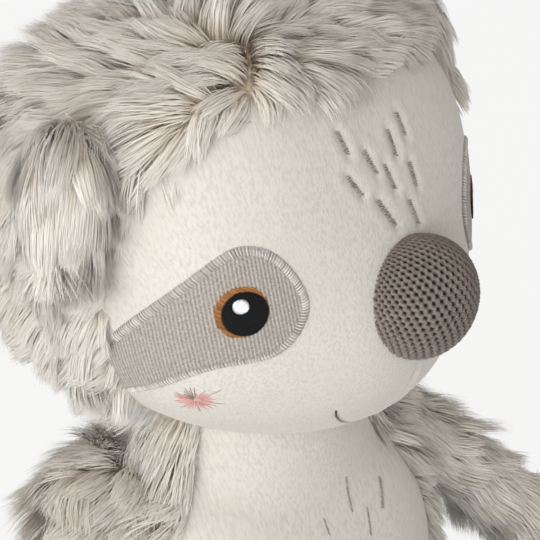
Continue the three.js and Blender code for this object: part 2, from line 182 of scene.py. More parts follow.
def head_reach(v):
    return egg(v, **HEAD) + MUZZLE_OUT * bell(angle_from(v, way(0, -MUZZLE_DROP)), MUZZLE_SPREAD)


def on_head(v, lift=0.0):
    """The head's form along directions, raised by lift, in the head's frame."""
    return v * (head_reach(v) + lift)[..., None]


def head_point(lon, lat, lift=0.0):
    return on_head(way(np.asarray(lon, float), np.asarray(lat, float)), lift)


def head_spot(lon, lat):
    """A point on the head, and the ways east and north from it."""
    middle = head_point(lon, lat)
    east = unit(np.cross((0, 0, 1), unit(middle)))
    return middle, east, np.cross(unit(middle), east)


def inside_panel(across, along, power, size):
    """Over 0 inside a panel's rim and below 0 outside it, in about degrees."""
    return size * (1 - (np.abs(across) ** power + np.maximum(along, 0) ** power) ** (1 / power))


def inside_face(lon, lat):
    return inside_panel(lon / FACE_HALF, lat / FACE_TOP, FACE_POWER, 70)


def inside_belly(lon, lat):
    return inside_panel(lon / BELLY_HALF, -lat / BELLY_LOW, BELLY_POWER, 50)


def limb_line(limb, side, s):
    """A limb's centre line at distances s from its pivot: its points, and the ways along and across it."""
    forward, out = cos_sin(limb.out)
    heading = np.array([side * out, -forward, 0])
    across = np.array([heading[1], -heading[0], 0])
    root, length = limb.root, limb.length
    fine = np.linspace(-root, length, 400)
    share = np.maximum(0, fine - root) / (length - root)
    slope = np.radians(limb.slope + (limb.end_slope - limb.slope) * share)
    tangent = np.cos(slope)[:, None] * heading + np.sin(slope)[:, None] * (0, 0, 1)
    line = np.cumsum(tangent, 0) * (fine[1] - fine[0])
    pivot = np.array(limb.pivot, float) * (side, 1, 1)
    centre = read_off(s, fine, line - read_off(0, fine, line) + pivot)
    along = unit(read_off(s, fine, tangent))
    return centre, along, across


def limb_radius(limb, s):
    taper = smooth(s, 0, limb.length * WRIST_AT)
    swell = smooth(s, limb.length * WRIST_AT, limb.length * PAW_AT)
    round_ = limb.shaft + (limb.wrist - limb.shaft) * taper + (limb.paw - limb.wrist) * swell
    join = math.sqrt(limb.root ** 2 - limb.shaft ** 2)
    ball = np.sqrt(np.maximum(limb.root ** 2 - s * s, 0))
    blunt = np.clip((s - (limb.length - limb.paw)) / limb.paw, 0, 1)
    return np.where(s < join, ball, round_ * np.sqrt(1 - blunt ** 2))


# Meshes

def mesh_of(name, points, faces):
    """A mesh object from points in millimetres and an array of faces with 3 or 4 corners."""
    mesh = bpy.data.meshes.new(name)
    mesh.vertices.add(len(points))
    mesh.vertices.foreach_set("co", (np.asarray(points) * MM).astype(np.float32).ravel())
    mesh.loops.add(faces.size)
    mesh.loops.foreach_set("vertex_index", faces.astype(np.int32).ravel())
    mesh.polygons.add(len(faces))
    mesh.polygons.foreach_set("loop_start", np.arange(0, faces.size, faces.shape[1], dtype=np.int32))
    mesh.polygons.foreach_set("use_smooth", np.ones(len(faces), bool))
    mesh.update(calc_edges=True)
    thing = bpy.data.objects.new(name, mesh)
    bpy.context.scene.collection.objects.link(thing)
    return thing


def put(name, data, right, up, back, place):
    """A camera or lamp at a place in metres, which looks away from back."""
    world = np.eye(4)
    world[:3] = np.stack([right, up, back, place], -1)
    thing = bpy.data.objects.new(name, data)
    thing.matrix_world = Matrix(world.tolist())
    bpy.context.scene.collection.objects.link(thing)
    return thing


def grid(rows, cols, wrap):
    """Quads of a grid of rows by cols points, closed round its columns where wrap is true."""
    i, j = np.meshgrid(np.arange(rows - 1), np.arange(cols if wrap else cols - 1), indexing="ij")
    k = (j + 1) % cols
    return np.stack([i * cols + j, i * cols + k, (i + 1) * cols + k, (i + 1) * cols + j], -1).reshape(-1, 4)


def halves(quads):
    """The two triangles of each quad."""
    return np.concatenate([quads[:, [0, 1, 2]], quads[:, [0, 2, 3]]])


def keep_faces(points, faces, wanted):
    """The faces whose corners are all wanted, with the unused points taken out."""
    faces = faces[wanted[faces].all(1)]
    used = np.unique(faces)
    renumber = np.full(len(points), -1)
    renumber[used] = np.arange(len(used))
    return points[used], renumber[faces], used


def read(items, key, width, kind):
    """One property of all the points, corners or triangles of a mesh, a row for each."""
    values = np.zeros(len(items) * width, kind)
    items.foreach_get(key, values)
    return values.reshape(-1, width)


def piece(name, points, faces, body, slot, material, *nodes, padded=None, uv=None, normals=None):
    """A piece of the toy. Fur, threads and knits read their colours from uv, which is given per point."""
    thing = mesh_of(name, points, faces)
    mesh = thing.data
    if uv is not None:
        corners = read(mesh.loops, "vertex_index", 1, np.int32)[:, 0]
        layer = mesh.uv_layers.new(name="OFBake")
        layer.data.foreach_set("uv", uv[corners].astype(np.float32).ravel())
    if normals is not None:
        mesh.normals_split_custom_set_from_vertices(normals)
    mesh.materials.append(material)
    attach(thing, body)
    if nodes:
        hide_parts(*nodes)
    return thing


# Materials

def srgb(r, g, b):
    """A colour given as 0 to 255 on screen, as Blender's linear values."""
    return tuple(((c / 255 + 0.055) / 1.055) ** 2.4 if c > 10 else c / 255 / 12.92 for c in (r, g, b)) + (1,)


class Nodes:
    """The node tree of a material or the world, with short calls to add to it."""

    def __init__(self, owner):
        owner.use_nodes = True
        self.owner = owner
        self.tree = owner.node_tree

    def fill(self, node, inputs):
        """Sets a node's inputs, each to a value or by a link from another node's output."""
        for key, value in inputs.items():
            if isinstance(value, bpy.types.NodeSocket):
                self.tree.links.new(value, node.inputs[key])
            else:
                node.inputs[key].default_value = value

    def add(self, kind, inputs, **settings):
        node = self.tree.nodes.new("ShaderNode" + kind)
        for key, value in settings.items():
            setattr(node, key, value)
        self.fill(node, inputs)
        return node

    def calc(self, operation, one, two):
        return self.add("Math", {0: one, 1: two}, operation=operation).outputs[0]

    def whiten(self, surface, kind, share, output):
        """Mixes a share of plain white into what the camera sees, also by way of glass or a reflection."""
        ray = self.add("LightPath", {}).outputs
        seen = ray["Is Camera Ray"]
        for other in ("Is Glossy Ray", "Is Transmission Ray"):
            seen = self.calc("MAXIMUM", seen, ray[other])
        white = self.add(kind, {"Color": (1, 1, 1, 1)}).outputs[0]
        mix = self.add("MixShader", {0: self.calc("MULTIPLY", seen, share), 1: surface.outputs[0], 2: white})
        self.fill(self.tree.nodes[output], {"Surface": mix.outputs[0]})


class Shader(Nodes):
    """The node tree of a new material, which has one surface."""

    def __init__(self, name, roughness, sheen=0.0, sheen_roughness=0.5, gloss=0.25):
        super().__init__(bpy.data.materials.new(name))
        self.surface = self.tree.nodes["Principled BSDF"]
        self.fill(self.surface, {"Roughness": roughness, "Specular IOR Level": gloss,
                                 "Sheen Weight": sheen, "Sheen Roughness": sheen_roughness})

    def place(self):
        return self.add("TexCoord", {}).outputs["Object"]

    def bake_uv(self):
        """A piece's texture coordinates, together and as X and Y."""
        uv = self.add("UVMap", {}, uv_map="OFBake").outputs["UV"]
        return uv, self.add("SeparateXYZ", {"Vector": uv}).outputs

    def noise(self, where, scale, detail=3.0, roughness=0.55):
        inputs = {"Vector": where, "Scale": scale, "Detail": detail, "Roughness": roughness}
        return self.add("TexNoise", inputs).outputs["Fac"]

    def scaled(self, where, by):
        return self.add("VectorMath", {0: where, 1: by}, operation="MULTIPLY").outputs["Vector"]

    def ramp(self, value, stops):
        node = self.add("ValToRGB", {"Fac": value})
        marks = node.color_ramp.elements
        while len(marks) < len(stops):
            marks.new(0.5)
        for mark, (at, colour) in zip(marks, stops):
            mark.position = at
            mark.color = srgb(*colour)
        return node.outputs["Color"]

    def ranged(self, value, low, high, to_low, to_high):
        """A value's stretch from low to high, moved to another stretch and held beyond its ends."""
        inputs = {"Value": value, "From Min": low, "From Max": high, "To Min": to_low, "To Max": to_high}
        return self.add("MapRange", inputs).outputs["Result"]

    def mix(self, share, one, two, kind="MIX"):
        return self.add("MixRGB", {0: share, 1: one, 2: two}, blend_type=kind).outputs["Color"]

    def colour(self, out, *tints):
        """The surface's colour, which each tint darkens where it isn't white."""
        for tint in tints:
            out = self.mix(1.0, out, tint, "MULTIPLY")
        self.fill(self.surface, {"Base Color": out})

    def bump(self, height, depth, strength=1.0):
        node = self.add("Bump", {"Distance": depth * MM, "Strength": strength, "Height": height})
        self.fill(self.surface, {"Normal": node.outputs["Normal"]})


STRAND_SPAN = 0.022       # of the pattern's width, that one ribbon of fur shows
HAIRS = 260               # hairs across the whole pattern
RAGGED = 0.14             # how far the colours' borders shift from hair to hair, as a share of its length


def fur_material(name, root, low, mid, tip, dark):
    """Fur ribbons: u picks the hairs across a ribbon and v runs from root to tip."""
    shader = Shader(name, 0.8, sheen=0.6, sheen_roughness=0.6)
    shader.fill(shader.surface, {"Subsurface Weight": 0.2, "Subsurface Radius": (1.0, 0.85, 0.7),
                                 "Subsurface Scale": 2.5 * MM})
    uv, parts = shader.bake_uv()
    fine = shader.noise(shader.scaled(uv, (HAIRS, 2.2, 0)), 1, 1)
    broad = shader.noise(shader.scaled(uv, (17, 0.8, 4)), 1, 2)
    at = shader.calc("ADD", parts["Y"], shader.ranged(fine, 0.25, 0.75, -RAGGED, RAGGED))
    length = shader.ramp(at, [(0.0, root), (0.26, low), (0.5, mid), (1.0, tip)])
    tone = shader.ramp(broad, [(0.3, dark), (0.45, (243, 240, 236)), (0.6, (255, 255, 255))])
    hair = shader.ramp(fine, [(0.3, (228, 223, 216)), (0.6, (255, 255, 255))])
    shader.colour(length, tone, hair)
    return shader.owner


def skin_material(name, pale, deep):
    """Fur backing, seen only down in the partings: a tan-brown that is partly the cloth's own colour and
    partly painted shade for the partings.
    """
    shader = Shader(name, 0.9)
    where = shader.place()
    shader.colour(shader.ramp(shader.noise(where, 180), [(0.3, deep), (0.7, pale)]))
    shader.bump(shader.noise(where, 900, 2), 0.5)
    return shader.owner


def minky_material(name, base, shade, warm):
    """Short velvet pile: fine streaks that are brushed down and forwards, mottled here and there."""
    shader = Shader(name, 0.85, sheen=0.3, sheen_roughness=0.45)
    where = shader.place()
    brush = {"Vector": where, "Rotation": (math.radians(-38), math.radians(6), 0), "Scale": (1, 1, 4.5)}
    streaks = shader.add("Mapping", brush, vector_type="TEXTURE").outputs["Vector"]
    grain = shader.noise(streaks, 1050, 2, 0.6)
    mottle = shader.ranged(shader.noise(where, 45, 2), 0.35, 0.75, 0, 0.5)
    shader.colour(shader.mix(mottle, shader.ramp(grain, [(0.36, shade), (0.56, base)]), srgb(*warm)))
    shader.bump(grain, 0.3, 0.6)
    return shader.owner


def thread_material(name, dark, light, sheen, roughness):
    """Embroidery thread: v runs along the thread and u is its tone."""
    shader = Shader(name, roughness, sheen=sheen, sheen_roughness=0.35)
    shader.colour(shader.ramp(shader.bake_uv()[1]["X"], [(0.0, dark), (1.0, light)]))
    shader.bump(shader.noise(shader.place(), 2500, 2), 0.15)
    return shader.owner


def height_shaded_material(name, low, high, roughness, sheen, grain):
    """Knit or jersey: the thread's height, kept in u, darkens the hollows between stitches as painted shade.
    """
    shader = Shader(name, roughness, sheen=sheen)
    where = shader.place()
    fleck = [(0.3, (196, 192, 188)), (0.7, (255, 255, 255))]
    shader.colour(shader.ramp(shader.bake_uv()[1]["X"], [(0.0, low), (1.0, high)]),
                  shader.ramp(shader.noise(where, grain, 3), fleck))
    shader.bump(shader.noise(where, grain * 1.7, 2), 0.2)
    return shader.owner


FUR = fur_material("long_fur", (172, 146, 118), (226, 215, 200), (248, 244, 237), (252, 250, 246),
                   (228, 219, 207))
# The backing's tan-brown, darker than the fur, is partly painted shade down in the partings.
HIDE = skin_material("fur_backing", (214, 198, 178), (178, 156, 132))
MINKY = minky_material("minky", (217, 212, 204), (202, 197, 189), (211, 205, 196))
# The knit's and the jersey's low colours are painted shade down in the hollows between the stitches.
KNIT = height_shaded_material("nose_knit", (44, 37, 32), (164, 152, 143), 0.9, 0.2, 900)
JERSEY = height_shaded_material("patch_jersey", (138, 130, 122), (206, 200, 193), 0.85, 0.3, 1400)
CLAW_CLOTH = height_shaded_material("claw_fabric", (150, 140, 130), (176, 166, 156), 0.9, 0.3, 1200)
SATIN = thread_material("satin_thread", (128, 118, 106), (240, 237, 231), 0.5, 0.4)
BLACK = thread_material("black_thread", (2, 2, 3), (12, 12, 14), 0.0, 0.8)
COPPER = thread_material("copper_thread", (84, 54, 32), (176, 118, 66), 0.3, 0.5)
WHITE = thread_material("white_thread", (216, 220, 226), (250, 250, 252), 0.3, 0.5)
TAUPE = thread_material("taupe_thread", (96, 88, 78), (168, 160, 148), 0.3, 0.5)
PINK = thread_material("pink_thread", (150, 122, 108), (226, 158, 156), 0.3, 0.5)
MOUTH = thread_material("mouth_thread", (50, 48, 46), (222, 217, 208), 0.2, 0.7)


# Camera: the photograph's viewing angle, found from the head's outline in the picture

PICTURE = 540
PIXELS_PER_MM = 2.6
DISTANCE = 900
HEAD_AT = (262, 223)              # pixel of the head's centre
VIEW_AZIMUTH, VIEW_ELEVATION = -50, 25    # in the head's own frame


def view_axes():
    """The camera's ways right, up and back in the head's frame."""
    (c, s), (level, rise) = cos_sin(VIEW_AZIMUTH), cos_sin(VIEW_ELEVATION)
    right, back = np.array([c, s, 0]), np.array([s * level, -c * level, rise])
    return right, np.cross(back, right), back


def camera_point():
    """The camera in the head's frame."""
    right, up, back = view_axes()
    middle = PICTURE / 2
    aside = (HEAD_AT[0] - middle) / PIXELS_PER_MM * right + (middle - HEAD_AT[1]) / PIXELS_PER_MM * up
    return back * DISTANCE - aside


def add_camera():
    data = bpy.data.cameras.new("camera")
    data.lens = data.sensor_width * PIXELS_PER_MM * DISTANCE / PICTURE
    data.clip_end = 20
    axes = (HEAD_AXES @ v for v in view_axes())
    bpy.context.scene.camera = put("camera", data, *axes, from_head(camera_point()) * MM)


def sight(pixel, lift):
    """Where the line of sight through a pixel meets the head's form, in the head's frame."""
    right, up, back = view_axes()
    start = camera_point()
    focal = PIXELS_PER_MM * DISTANCE
    ray = unit((pixel[0] - PICTURE / 2) * right + (PICTURE / 2 - pixel[1]) * up - focal * back)
    t = np.linspace(DISTANCE - 160, DISTANCE + 60, 1200)
    q = start + ray * t[:, None]
    gap = np.linalg.norm(q, axis=1) - head_reach(unit(q)) - lift
    return q[int(np.argmax(gap < 0))] if (gap < 0).any() else q[int(np.argmin(gap))]


# Skins: the cloth under the fur, and the short-pile panels

def lon_lat_grid(step):
    lats = np.linspace(-89.9, 89.9, int(180 / step))
    lons = np.linspace(-180, 180, int(360 / step), endpoint=False)
    lat, lon = np.meshgrid(lats, lons, indexing="ij")
    return lon.ravel(), lat.ravel(), grid(len(lats), len(lons), True)


def segment_distance(p, a, b):
    """Distance of points from a straight stretch a to b."""
    along = np.clip(((p - a) @ (b - a)) / ((b - a) @ (b - a)), 0, 1)
    return np.linalg.norm(p - a - along[:, None] * (b - a), axis=1)


# Forehead stitches, each from start to end in longitude and latitude
DASHES = (
    ((-20.5, 46.1), (-17.5, 39.7)), ((-9.6, 40.1), (-5.6, 32.5)), ((6.5, 42.7), (6.6, 34.8)),
    ((15.1, 45.0), (15.0, 38.3)), ((-19.9, 34.3), (-14.7, 27.9)), ((-0.8, 34.4), (1.5, 26.2)),
    ((12.6, 31.3), (12.9, 23.1)), ((-8.3, 25.3), (-2.5, 15.7)), ((7.0, 21.2), (8.4, 12.7)),
)
SMILE = ((-27.5, -33), (-26.5, -36), (-23.5, -40), (-16, -45.5), (-8, -48.5), (0, -49.5))
CHIN_SEAM = 24            # degrees down from the head's middle to the top of the seam

# What a stitch does to the cloth: how deep, how far from the stitch and how wide. Below 0 the cloth swells
STITCH_DENT = ((0.8, 0, 2.0), (-0.2, 4.5, 2.2))
SEAM_DENT = ((1.5, 0, 1.5), (-0.3, 3.5, 2))
SMILE_DENT = ((0.3, 0, 1.5),)


def dent(far, profile):
    return sum(depth * bell(far - at, wide) for depth, at, wide in profile)


def dents(p):
    """How deep stitches pull the face cloth in, for points in the head's frame."""
    depth = np.zeros(len(p))
    for start, end in DASHES:
        depth += dent(segment_distance(p, head_point(*start), head_point(*end)), STITCH_DENT)
    under = smooth(-lon_lat(p)[1], CHIN_SEAM, CHIN_SEAM + 8)
    depth += under * dent(np.abs(p[:, 0]), SEAM_DENT)
    smile = np.array([head_point(*at) for at in SMILE])
    for one in (smile, smile * (-1, 1, 1)):
        for a, b in zip(one[:-1], one[1:]):
            depth += dent(segment_distance(p, a, b), SMILE_DENT)
    return depth


def head_grid(step):
    """Directions over the head, their points on its form, how far inside the face they lie, and faces."""
    lon, lat, faces = lon_lat_grid(step)
    v = way(lon, lat)
    return v, on_head(v), inside_face(lon, lat), faces


def head_skins():
    v, flat, inside, faces = head_grid(0.6)
    points, faces, _ = keep_faces(flat - v * dents(flat)[:, None], faces, inside > -7)
    piece("face_panel_cloth", from_head(points), faces, "head", "minky", MINKY, "face_panel", padded=0.8)
    v, flat, inside, faces = head_grid(1.6)
    hood = on_head(v, 1 + 0.8 * Waves(11, 42)(flat) - 6 * smooth(inside, -6, 1))
    points, faces, _ = keep_faces(hood, faces, inside < 4)
    return piece("hood_backing", from_head(points), faces, "head", "long_fur", HIDE,
                 "head_cover", "head_stuffing", padded=0.8)


NECK_RISE = 34            # how far the collar rises over the body's own top
COLLAR_IN, COLLAR_OUT = 11, 36      # degrees from the body's middle to the collar's edge and foot


def body_form(lon, lat, lift):
    """The body, with the collar that rises from it round the neck."""
    v = way(lon, lat)
    lean = angle_from(v, unit(NECK - (0, 0, BODY_MID)))
    rise = NECK_RISE * (1 - smooth(lean, COLLAR_IN, COLLAR_OUT))
    points = v * (egg(v, **BODY) + rise + lift)[:, None] + (0, 0, BODY_MID)
    points[:, 2] = np.maximum(points[:, 2], 0.6)
    return points


def body_skins():
    lon, lat, faces = lon_lat_grid(1.2)
    inside = inside_belly(lon, lat)
    lumps = Waves(12, 60)(way(lon, lat) * 70)
    points, belly_faces, _ = keep_faces(body_form(lon, lat, 0.4 * lumps), faces, inside > -8)
    piece("belly_panel_cloth", points, belly_faces, "torso", "minky", MINKY, "belly_panel", padded=0.75)
    back = body_form(lon, lat, 1 + 1.5 * lumps - 6 * smooth(inside, -7, 1))
    points, back_faces, _ = keep_faces(back, faces, inside < 5)
    return piece("body_backing", points, back_faces, "torso", "long_fur", HIDE,
                 "body_cover", "body_stuffing", "bean_pouch", padded=0.75)


def neck_skin():
    lon, lat, faces = lon_lat_grid(6)
    points = NECK + way(lon, lat) * (NECK_RADIUS - 1)
    piece("neck_backing", points, faces, "neck", "long_fur", HIDE, "neck_stuffing", padded=0.8)


def ear_axes(side):
    return turn((0, 0, 1), side * (EAR_LON - 90 - EAR_SWEEP)) @ turn((0, 1, 0), -side * EAR_LEAN)


def ear_root(side):
    return head_point(side * EAR_LON, EAR_LAT, PILE + EAR_OUT)


def ear_skin(name, side):
    lon, lat, faces = lon_lat_grid(6)
    v = way(lon, lat) * (EAR_SIZE / 2 - EAR_PILE)
    points = from_head(v @ ear_axes(side).T + ear_root(side))
    return piece(f"ear_backing_{name}", points, faces, "head", "long_fur", HIDE, f"ear_{name}", padded=0.4)


def limb_skin(kind, limb, name, side):
    s = np.concatenate([np.linspace(-limb.root, 0, 12)[1:], np.linspace(0, limb.length - 1, 60)[1:]])
    around = 40
    centre, along, across = limb_line(limb, side, s)
    radius = np.maximum(limb_radius(limb, s) - PILE - 1, 3)
    ring = rings(across, np.cross(across, along), around)
    points = (centre[:, None, :] + ring * radius[:, None, None]).reshape(-1, 3)
    points[:, 2] = np.maximum(points[:, 2], 1.5)
    first, last = len(points), len(points) + 1
    points = np.vstack([points, centre[0] - along[0], centre[-1] + along[-1]])
    j = np.arange(around)
    k = (j + 1) % around
    end = (len(s) - 1) * around
    tris = np.concatenate([halves(grid(len(s), around, True)), np.stack([k, j, j * 0 + first], -1),
                           np.stack([end + j, end + k, j * 0 + last], -1)])
    corners = points[tris]
    volume = (corners[:, 0] * np.cross(corners[:, 1], corners[:, 2])).sum()
    tris = tris if volume > 0 else tris[:, ::-1]
    return piece(f"{kind}_backing_{name}", points, tris, f"{kind}_{name}", "long_fur", HIDE,
                 f"{kind}_cover_{name}", f"{kind}_stuffing_{name}", padded=0.7)


# Fur

FUR_STEPS = 4
ALONG = np.linspace(0, 1, FUR_STEPS + 1)      # a strand's rows, from its root to its tip
LOCK_SPACING = 7
TOUSLE = 14               # degrees that locks swing from the way they are combed
STRAND_WIDTH = 0.65
ROOT_DEPTH = 0.6          # how far below the skin a strand starts
LOOSE = 0.3               # share of strands that stand short between the locks
LOOSE_LIFT = 14           # degrees that such a strand stands up more
LOOSE_LENGTH = 0.55


def scatter(skin, count, rng, wanted=None, spacing=None):
    """Random points on a skin with its smooth outward normals, so many or one in each spacing squared."""
    mesh = skin.data
    mesh.calc_loop_triangles()
    triangles = read(mesh.loop_triangles, "vertices", 3, np.int32)
    points = read(mesh.vertices, "co", 3, np.float32).astype(float) / MM
    a, b, c = (points[triangles[:, i]] for i in range(3))
    flat = np.cross(b - a, c - a)
    normals = np.zeros_like(points)
    for i in range(3):
        np.add.at(normals, triangles[:, i], flat)
    area = np.linalg.norm(flat, axis=1) / 2
    if wanted is not None:
        area = area * wanted((a + b + c) / 3, unit(flat))
    if spacing is not None:
        count = max(8, int(area.sum() / spacing ** 2))
    pick = rng.choice(len(area), count, p=area / area.sum())
    u, w = rng.random(count), rng.random(count)
    over = u + w > 1
    u[over], w[over] = 1 - u[over], 1 - w[over]
    weights = np.stack([1 - u - w, u, w], -1)[..., None]
    spots = (points[triangles[pick]] * weights).sum(1)
    return spots, unit((unit(normals[triangles[pick]]) * weights).sum(1))


def nearest(spots, points):
    """For each point, the number of its nearest spot."""
    tree = kdtree.KDTree(len(spots))
    for i, at in enumerate(spots):
        tree.insert(at, i)
    tree.balance()
    return np.array([tree.find(at)[1] for at in points])


def strand_lines(root, normal, lie, length, lift, tilt, curl, droop):
    """Each strand's points from root to tip, which starts along lie and rises by the angles in lift."""
    line = np.zeros((len(root), FUR_STEPS + 1, 3))
    line[:, 0] = root - normal * ROOT_DEPTH
    for i in range(1, FUR_STEPS + 1):
        middle = (ALONG[i] + ALONG[i - 1]) / 2
        angle = np.radians(lift[0] + (lift[1] - lift[0]) * middle ** 0.8 + tilt)
        ahead = swung(lie, normal, curl * middle)
        step = np.cos(angle)[:, None] * ahead + np.sin(angle)[:, None] * normal
        step = unit(step - (0, 0, droop * middle))
        line[:, i] = line[:, i - 1] + step * (length / FUR_STEPS)[:, None]
    return line


def grow(name, skin, body, count, flow, seed, length=22.0, lift=(70, 6), droop=0.0, shorten=None,
         stand=None, wanted=None, parts=1):
    """Strands of fur in locks that lie along flow(points, normals), as flat tapered ribbons."""
    rng = np.random.default_rng(seed)
    root, normal = scatter(skin, count, rng, wanted)
    lock_root, lock_normal = scatter(skin, 0, rng, wanted, LOCK_SPACING)
    locks = len(lock_root)
    own = nearest(lock_root, root)
    ways = laid(flow(lock_root, lock_normal), lock_normal)
    ways = swung(ways, lock_normal, np.radians(rng.normal(0, TOUSLE, locks)))
    lock_lift, lock_long = rng.normal(0, 7, locks), rng.uniform(0.82, 1.12, locks)
    lock_curl, lock_tone = rng.normal(0, 0.28, locks), rng.uniform(0, 1, locks)
    loose = rng.random(count) < LOOSE
    lie = laid(ways[own] + rng.normal(0, 1, (count, 3)) * np.where(loose, 0.18, 0.055)[:, None], normal)
    tilt = lock_lift[own] + rng.normal(0, 3, count) + np.where(loose, LOOSE_LIFT, 0)
    long_ = length * lock_long[own] * rng.uniform(0.86, 1.04, count) * np.where(loose, LOOSE_LENGTH, 1)
    if shorten is not None:
        long_ = long_ * shorten(root)
    if stand is not None:
        tilt = tilt + stand(root)
    tight = np.where(loose, 0.05, rng.uniform(0.35, 0.75, count))
    curl = lock_curl[own] + rng.normal(0, 0.07, count)
    line = strand_lines(root, normal, lie, long_, lift, tilt, curl, droop)
    gather = lock_root[own] - root
    for i in range(1, FUR_STEPS + 1):
        line[:, i] += gather * (tight * ALONG[i] ** 1.3)[:, None]
    line[..., 2] = np.maximum(line[..., 2], 0.4)

    tangent = unit(np.gradient(line, axis=1))
    roll = np.radians(rng.normal(0, 8, count))[:, None]
    flat = unit(swung(unit(np.cross(tangent, normal[:, None, :])), tangent, roll))
    wide = STRAND_WIDTH * rng.uniform(0.7, 1.25, count)[:, None] * (1 - ALONG[:-1] ** 1.5 * 0.85)[None]
    half = flat[:, :-1] * wide[..., None] / 2
    rows = np.stack([line[:, :-1] - half, line[:, :-1] + half], 2).reshape(count, -1, 3)
    points = np.concatenate([rows, line[:, -1:]], 1)

    span = STRAND_SPAN / 2
    hair = np.clip((lock_tone[own] + rng.normal(0, 0.1, count)) % 1, span, 1 - span)
    u = np.concatenate([np.stack([hair - span, hair + span], -1)] * FUR_STEPS + [hair[:, None]], 1)
    v = np.concatenate([np.repeat(ALONG[:-1], 2), [1.0]]) * np.where(loose, 0.5, 1)[:, None]

    # Normals lean from the skin's towards each lock's outside, so that a lock is shaded as one form
    facing = np.cross(doubled(flat), doubled(tangent))
    facing *= np.sign((facing * normal[:, None, :]).sum(-1, keepdims=True))
    crown = unit(normal - gather * (0.45 / LOCK_SPACING))
    shade = unit(0.15 * facing + crown[:, None, :])
    ribbon_pieces(name, body, points, np.stack([u, v], -1), shade, parts)


def doubled(rows):
    """A value for each point of a ribbon: two on each row of a strand but one at its tip."""
    return np.concatenate([np.repeat(rows[:, :-1], 2, 1), rows[:, -1:]], 1)


def ribbon_pieces(name, body, points, uv, shade, parts):
    """Meshes of tapered ribbons, each given as pairs of points from its root and then its tip."""
    count, per = points.shape[:2]
    shape = [(per - 3, per - 2, per - 1)]
    for a in range(0, per - 3, 2):
        shape += [(a, a + 1, a + 3), (a, a + 3, a + 2)]
    shape = np.array(shape)
    bounds = np.linspace(0, count, parts + 1).astype(int)
    for k, (low, high) in enumerate(zip(bounds[:-1], bounds[1:])):
        faces = (np.arange(high - low)[:, None, None] * per + shape[None]).reshape(-1, 3)
        label = name if parts == 1 else f"{name}_{k + 1}"
        piece(label, points[low:high].reshape(-1, 3), faces, body, "long_fur", FUR,
              uv=uv[low:high].reshape(-1, 2), normals=shade[low:high].reshape(-1, 3))


def even(target):
    """A flow that runs in one direction everywhere."""
    return lambda points, normals: np.broadcast_to(target, points.shape)


def down_limb(limb, side):
    """A flow along a limb to its paw, which spreads over the limb's root from the root's middle."""
    centre, along, _ = limb_line(limb, side, np.array([0.0, limb.length * 0.5]))

    def flow(points, normals):
        away = points - centre[0]
        near = np.exp(-((away ** 2).sum(1, keepdims=True) / (1.3 * limb.root) ** 2))
        spread = away - (away @ along[0])[:, None] * along[0]
        return along[1] + np.array([0, 0, -0.15]) + 2 * near * unit(spread)
    return flow


def stirred(flow, seed, length, degrees):
    """A flow turned about the skin's normal by slow noise."""
    waves = Waves(seed, length)

    def turned(points, normals):
        return swung(laid(flow(points, normals), normals), normals, waves(points) * math.radians(degrees))
    return turned


# How the hood's fur is combed: a pixel across and down in the photograph, and which way the tips point
COMB = (
    (205, 10, 0.5, -1), (235, 18, 0.4, -1), (170, 15, -0.6, -0.8), (130, 40, -1, -0.1),
    (90, 20, -0.8, -0.5), (165, 60, -1, 0.1), (215, 75, -1, 0.25), (255, 85, -0.4, 0.9),
    (175, 100, -1, 0.25), (135, 85, -1, 0.1), (150, 125, -0.7, 0.8), (128, 150, -0.5, 0.9),
    (150, 165, -0.1, 1), (125, 185, 0.1, 1), (120, 220, 0.7, 0.7), (112, 255, 0.3, 1),
    (240, 62, -0.8, 0.55), (268, 62, 0.1, 1), (160, 148, 0.15, 1), (50, 45, -0.6, -0.3),
    (15, 100, -0.7, 0.7), (105, 310, -0.2, 1), (75, 300, -0.5, 1), (40, 290, -0.6, 0.9),
    (95, 380, -0.1, 1), (272, 20, 0.9, -0.4), (290, 60, 0.9, 0.6), (315, 85, 0.4, 1),
    (325, 35, 1, 0.05), (360, 65, 0.8, 0.6), (385, 25, 1, 0.2), (420, 45, 0.5, 0.9),
    (440, 20, 0.6, 0.8),
)
COMB_SPREAD = 15          # millimetres over which one mark holds
EAR_FOOT = 0.5            # share of the ear's outline over which the hood has no fur under it
FACE_LOCK = (158, 138)    # pixel where a long lock sweeps down over the face's edge
HIGH_BACK = (22, 40)      # pixel where the fur is longest, high on the back of the head
SHOULDER_SPREAD = 34      # millimetres from an arm's pivot over which the body's fur is the shoulder's


def hood_flow(points, normals):
    """Down and back over the hood, led by the comb's marks where the photograph shows it."""
    right, up, _ = view_axes()
    local = to_head(points)
    total = 0.3 * unit(local * (0.006, 0, 0) + (0, 0.5, -0.9))
    for x, y, dx, dy in COMB:
        pull = closeness(local, sight((x, y), 8), COMB_SPREAD)[:, None]
        total = total + pull * unit(dx * right - dy * up)
    return total @ HEAD_AXES.T


def by_shoulder(points, side):
    """1 round an arm's root and 0 elsewhere."""
    return closeness(points, np.array(ARM.pivot) * (side, 1, 1), SHOULDER_SPREAD)


def over_shoulders(points, normals):
    """Down and back, and outwards over each shoulder."""
    total = np.broadcast_to((0.0, 0.5, -1.0), points.shape)
    for _, side in SIDES:
        total = total + 2.4 * by_shoulder(points, side)[:, None] * np.array([side, -0.35, -0.45])
    return total


def at_back(points):
    return closeness(to_head(points), sight(HIGH_BACK, 10), 36)


def hood_length(points):
    """Short at the face's edge, and long in one lock over the face and high on the back."""
    local = to_head(points)
    short = 0.6 + 0.4 * smooth(-inside_face(*lon_lat(local)), -1, 10)
    return short + 0.65 * closeness(local, sight(FACE_LOCK, 4), 16) + 0.45 * at_back(points)


